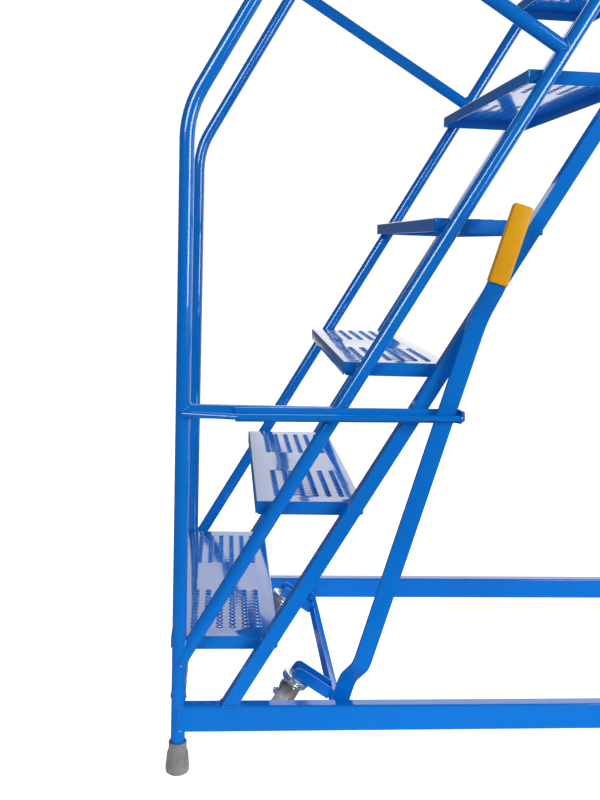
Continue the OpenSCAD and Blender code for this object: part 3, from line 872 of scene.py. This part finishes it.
def fork_edges(c, z):
    """Back and front edges of a fork leg at height z: wide at the crown, round at the axle."""
    base = -c.drop
    if z < base:
        half = math.sqrt(max(FORK_EYE_R**2 - (base - z) ** 2, 0)) + 0.4 * MM
        return c.trail - half, c.trail + half
    share = (z - base) / (FORK_ROOF - base)
    ease = share * share * (3 - 2 * share)
    back = (c.trail - FORK_EYE_R) * (1 - ease) - CROWN_BACK * ease
    front = (c.trail + FORK_EYE_R) * (1 - ease) + CROWN_FRONT * ease
    return back, front


def fork_section(c, path, i, sign):
    """Section of a fork leg with soft edges, at one point of its path."""
    y, z = path[i]
    before, after = Vector(path[max(i - 1, 0)]), Vector(path[min(i + 1, len(path) - 1)])
    run = (after - before).normalized()
    normal = Vector((-run.y, run.x)) * CASTOR_T / 2
    back, front = fork_edges(c, z)
    soft = 0.5 * MM
    edge = [(back, 0.6), (back + soft, 1), (front - soft, 1), (front, 0.6)]
    loop = [(x, -k) for x, k in edge] + [(x, k) for x, k in reversed(edge)]
    return [c.at(x, sign * (y + normal.x * k), z + normal.y * k) for x, k in loop]


def castor_fork(side):
    """Turning half: the pressed crown and its two legs."""
    c = Castor(side)
    shape = Shape()
    crown = [(6.05, -7.6), (24, -7.6), (26.4, -8), (27.2, -9), (27.2, -11), (26.2, -12.6)]
    crown += [(23.5, -15), (20, -16), (6.05, -16)]
    lathe(shape, [(r * MM, h * MM) for r, h in crown], c.top, c.up, 64)
    path = fork_path(-c.drop)
    for sign in (1, -1):
        shape.loft([fork_section(c, path, i, sign) for i in range(len(path))])
    name = side + "_castor_fork"
    shape.make(name + "_pressing", ZINC, side + "_castor", (name,), 35)


def castor_axle(side):
    c = Castor(side)
    shape = Shape()
    face = CASTOR_WHEEL_W / 2 + 4 * MM
    bolt = [(0, -face), (4, -face), (4, face + 11 * MM), (3.2, face + 12 * MM), (0, face + 12 * MM)]
    lathe(shape, [(r * MM, h) for r, h in bolt], c.hub, c.across, 24)
    hexagon(shape, c.hub - c.across * (face + 5 * MM), c.across, 13 * MM, 5 * MM, c.up)
    hexagon(shape, c.hub + c.across * (face + 1.5 * MM), c.across, 13 * MM, 6.5 * MM, c.up)
    washer = [(4, 0), (8.5, 0), (8.5, 1.4), (4, 1.4)]
    lathe(shape, [(r * MM, face + h * MM) for r, h in washer], c.hub, c.across, 32)
    name = side + "_castor_axle"
    shape.make(name + "_bolt", ZINC, side + "_castor", (name,), 30)


def castor_wheel(side):
    """Grey wheel with rounded shoulders, a dished web and a raised hub."""
    c = Castor(side)
    half, radius, shoulder = CASTOR_WHEEL_W / 2 / MM, CASTOR_WHEEL_R / MM, 6.5
    hub = [(4.05, half + 1), (9.6, half + 1), (10.2, half + 0.9), (11, half + 0.2)]
    web = [(12, half - 3.6), (13.5, half - 4), (23, half - 4), (24.6, half - 3.4)]
    tyre = [(25.4, half - 0.6), (26.4, half), (radius - shoulder, half)]
    tyre += corner_arc(radius - shoulder, half - shoulder, shoulder, 75, 0, 5)
    face = hub + web + tyre
    profile = face + [(r, -h) for r, h in reversed(face)]
    shape = Shape()
    lathe(shape, [(r * MM, h * MM) for r, h in profile], c.hub, c.across, 72)
    name = side + "_castor_wheel"
    shape.make(name + "_tyre", CASTOR_RUBBER, name, (name,), 40)


# ---- castor carriage ----

TILT = math.radians(34)
ARM_X = Vector((math.cos(TILT), 0, -math.sin(TILT)))
ARM_Z = Vector((math.sin(TILT), 0, math.cos(TILT)))
WEB_Z = -19 * MM
ARM_W, ARM_H, ARM_T = 38 * MM, 24 * MM, 3 * MM
ANGLE_X, ANGLE_Z, ANGLE_W, ANGLE_T = -2.5 * MM, -14 * MM, 16 * MM, 3 * MM


def castor_arm(side):
    """Folded channel, open at the top, with its flanges' end corners rounded off."""
    c = Castor(side)
    reach = (PIVOT - c.top).dot(ARM_X)
    start, end, corner = -reach - 14 * MM, ANGLE_X, 11 * MM
    half, soft = ARM_W / 2, 3.5 * MM
    shape = Shape()
    cuts = [corner * (1 - math.cos(math.radians(a))) for a in range(0, 91, 10)]
    stations = [start + cut for cut in cuts] + [end]
    rings = []
    for x in stations:
        into = min(x - start, corner)
        height = ARM_H - (corner - math.sqrt(corner**2 - (corner - into) ** 2))
        rings.append(
            [PIVOT + ARM_X * x + Y * (c.top.y + y) + ARM_Z * (WEB_Z + z)
             for y, z in channel(half, height, ARM_T, soft)]
        )
    shape.loft(rings)
    name = side + "_castor_arm"
    shape.make(name + "_channel", PAINT, "lever_carriage", (name,), 35)


def channel(half, height, thick, soft):
    """Outline of a folded U with round outer folds, in 2-D."""
    edge = 0.5 * MM
    left = corner_arc(-half + soft, soft, soft, 180, 270, 5)
    right = corner_arc(half - soft, soft, soft, 270, 360, 5)
    lip_right = [(half, height - edge), (half - edge, height)]
    lip_right += [(half - thick + edge, height), (half - thick, height - edge)]
    inner = soft - thick + 0.4 * MM
    inside = corner_arc(half - thick - inner, thick + inner, inner, 360, 270, 3)
    inside += corner_arc(-half + thick + inner, thick + inner, inner, 270, 180, 3)
    lip_left = [(-half + thick, height - edge), (-half + thick - edge, height)]
    lip_left += [(-half + edge, height), (-half, height - edge)]
    return left + right + lip_right + inside + lip_left


def angle_section(y):
    """Section of the rolled angle between the castor arms, round in its root and at its toes."""
    w, t, toe, root = ANGLE_W, ANGLE_T, 1.5 * MM, 3 * MM
    outline = [(0, 0), *corner_arc(t - toe, toe, toe, 270, 360, 3)]
    outline += corner_arc(t + root, w - t - root, root, 180, 90, 4)
    outline += corner_arc(w - toe, w - t + toe, toe, 270, 360, 3)
    outline += [(w, w), (0.6 * MM, w), (0, w - 0.6 * MM)]
    return placed(outline, PIVOT + Y * y + ARM_X * ANGLE_X + ARM_Z * ANGLE_Z, ARM_X, ARM_Z)


def cross_angle():
    """The angle itself and the weld beads round its ends."""
    ends = [corner.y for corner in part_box("cross_angle")]
    shape = Shape()
    shape.loft([angle_section(y) for y in ends])
    name = "cross_angle"
    shape.make("cross_angle_bar", PAINT, "lever_carriage", (name,), 35)
    welds = Shape()
    for y in ends:
        bead(welds, angle_section(y), 1.5 * MM)
    welds.make("carriage_welds", WELD, "lever_carriage", crease=180)


# ---- stage ----

ROOM = 0.07
SEEN_WHITE = 1.1


def floor():
    """Pale plain floor."""
    n = Nodes("pale_floor")
    tone = n.ramp(n.noise(0.8), [(0.3, (0.90, 0.90, 0.90)), (0.7, (0.93, 0.93, 0.93))])
    material = n.finish(tone)
    n.set(Roughness=0.9, Emission_Strength=0.85)
    n.shader.inputs["Emission Color"].default_value = (1, 1, 1, 1)
    mesh = bpy.data.meshes.new("floor")
    left, right, front, back = -2.5, 4.0, -0.55, 5.0
    corners = [(left, front, 0), (right, front, 0), (right, back, 0), (left, back, 0)]
    mesh.from_pydata(corners, [], [(0, 1, 2, 3)])
    mesh.materials.append(material)
    piece = bpy.data.objects.new("floor", mesh)
    bpy.context.scene.collection.objects.link(piece)
    piece.visible_glossy = False


def world_patch(tree, direction, inner, outer, strength):
    """Bright round patch of the world: full up to inner degrees off its direction."""
    place = tree.nodes.new("ShaderNodeTexCoord").outputs["Generated"]
    dot = tree.nodes.new("ShaderNodeVectorMath")
    dot.operation = "DOT_PRODUCT"
    dot.inputs[1].default_value = Vector(direction).normalized()
    tree.links.new(place, dot.inputs[0])
    fade = tree.nodes.new("ShaderNodeMapRange")
    fade.interpolation_type = "SMOOTHSTEP"
    fade.inputs["From Min"].default_value = math.cos(math.radians(outer))
    fade.inputs["From Max"].default_value = math.cos(math.radians(inner))
    fade.inputs["To Min"].default_value = ROOM
    fade.inputs["To Max"].default_value = strength
    tree.links.new(dot.outputs["Value"], fade.inputs["Value"])
    return fade.outputs["Result"]


def brightest(tree, a, b):
    node = tree.nodes.new("ShaderNodeMath")
    node.operation = "MAXIMUM"
    tree.links.new(a, node.inputs[0])
    tree.links.new(b, node.inputs[1])
    return node.outputs[0]


def studio():
    """Dark room with white paper straight behind, a big soft box above it and a dim one right.

    The camera itself sees plain white.
    """
    world = bpy.data.worlds.new("studio")
    bpy.context.scene.world = world
    world.use_nodes = True
    tree = world.node_tree
    paper = world_patch(tree, (0.33, 1, 0.06), 18, 26, 1.18)
    above = world_patch(tree, (0.2, 0.78, 0.6), 18, 36, 1.5)
    right = world_patch(tree, (1, 0.35, 0.1), 14, 30, 0.9)
    glow = brightest(tree, brightest(tree, paper, above), right)
    path = tree.nodes.new("ShaderNodeLightPath")
    mix = tree.nodes.new("ShaderNodeMix")
    mix.inputs["B"].default_value = SEEN_WHITE
    tree.links.new(path.outputs["Is Camera Ray"], mix.inputs["Factor"])
    tree.links.new(glow, mix.inputs["A"])
    back = tree.nodes["Background"]
    tree.links.new(mix.outputs["Result"], back.inputs["Strength"])
    back.inputs["Color"].default_value = (1, 1, 1, 1)


def soft_light(name, place, target, size, power):
    light = bpy.data.lights.new(name, "AREA")
    light.shape = "RECTANGLE"
    light.size, light.size_y = size
    light.energy = power
    lamp = bpy.data.objects.new(name, light)
    bpy.context.scene.collection.objects.link(lamp)
    lamp.location = place
    lamp.rotation_mode = "QUATERNION"
    lamp.rotation_quaternion = (Vector(target) - Vector(place)).to_track_quat("-Z", "Y")


def camera():
    """The photograph's point of view: close in, at about eye height on the ladder's right."""
    yaw, pitch, roll = 0.0831, -0.1480, 0.0349
    data = bpy.data.cameras.new("camera")
    data.sensor_width = 36
    data.lens = 40.85
    data.shift_y = -0.0257
    data.clip_start, data.clip_end = 0.05, 100
    piece = bpy.data.objects.new("camera", data)
    bpy.context.scene.collection.objects.link(piece)
    piece.location = (0.0715, -1.5513, 0.9628)
    turn = Matrix.Rotation(-yaw, 4, "Z") @ Matrix.Rotation(math.pi / 2 + pitch, 4, "X")
    piece.rotation_mode = "QUATERNION"
    piece.rotation_quaternion = (turn @ Matrix.Rotation(roll, 4, "Z")).to_quaternion()
    bpy.context.scene.camera = piece


# ---- everything together ----

FINISHES = {
    "frame_paint": PAINT,
    "tread_paint": TREAD_PAINT,
    "foot_rubber": FOOT_RUBBER,
    "grip_vinyl": VINYL,
    "zinc_plate": ZINC,
    "castor_rubber": CASTOR_RUBBER,
    "wheel_rubber": WHEEL_RUBBER,
    "wheel_centre": WHEEL_CENTRE,
}


def finish_cad_nodes():
    """Gives every CAD node its procedural material."""
    for part in frame["record"]["subparts"]:
        node = frame["nodes"][part["node"]]
        node.data.materials.clear()
        node.data.materials.append(FINISHES[part["material_slot"]])


camera()
studio()
soft_light("right_key", (3.2, -2.6, 1.9), (0.5, 0, 1.0), (1.8, 2.8), 135)
soft_light("left_fill", (-1.9, -3.2, 2.6), (0.5, 0, 1.0), (1.8, 1.8), 88)
floor()
finish_cad_nodes()
frame_welds()
for number in range(1, TREADS + 1):
    tray(f"tread_{number}_tray", f"tread_{number}", TREAD_PAINT)
tray("platform_tray", "platform_deck", TREAD_PAINT)
hand_lever()
lever_grip()
lever_guide()
cross_angle()
castor_raceways()
for side_name in SIDES:
    rubber_foot(side_name)
    castor_arm(side_name)
    castor_fork(side_name)
    castor_axle(side_name)
    castor_wheel(side_name)

bpy.context.scene.view_settings.view_transform = "Standard"
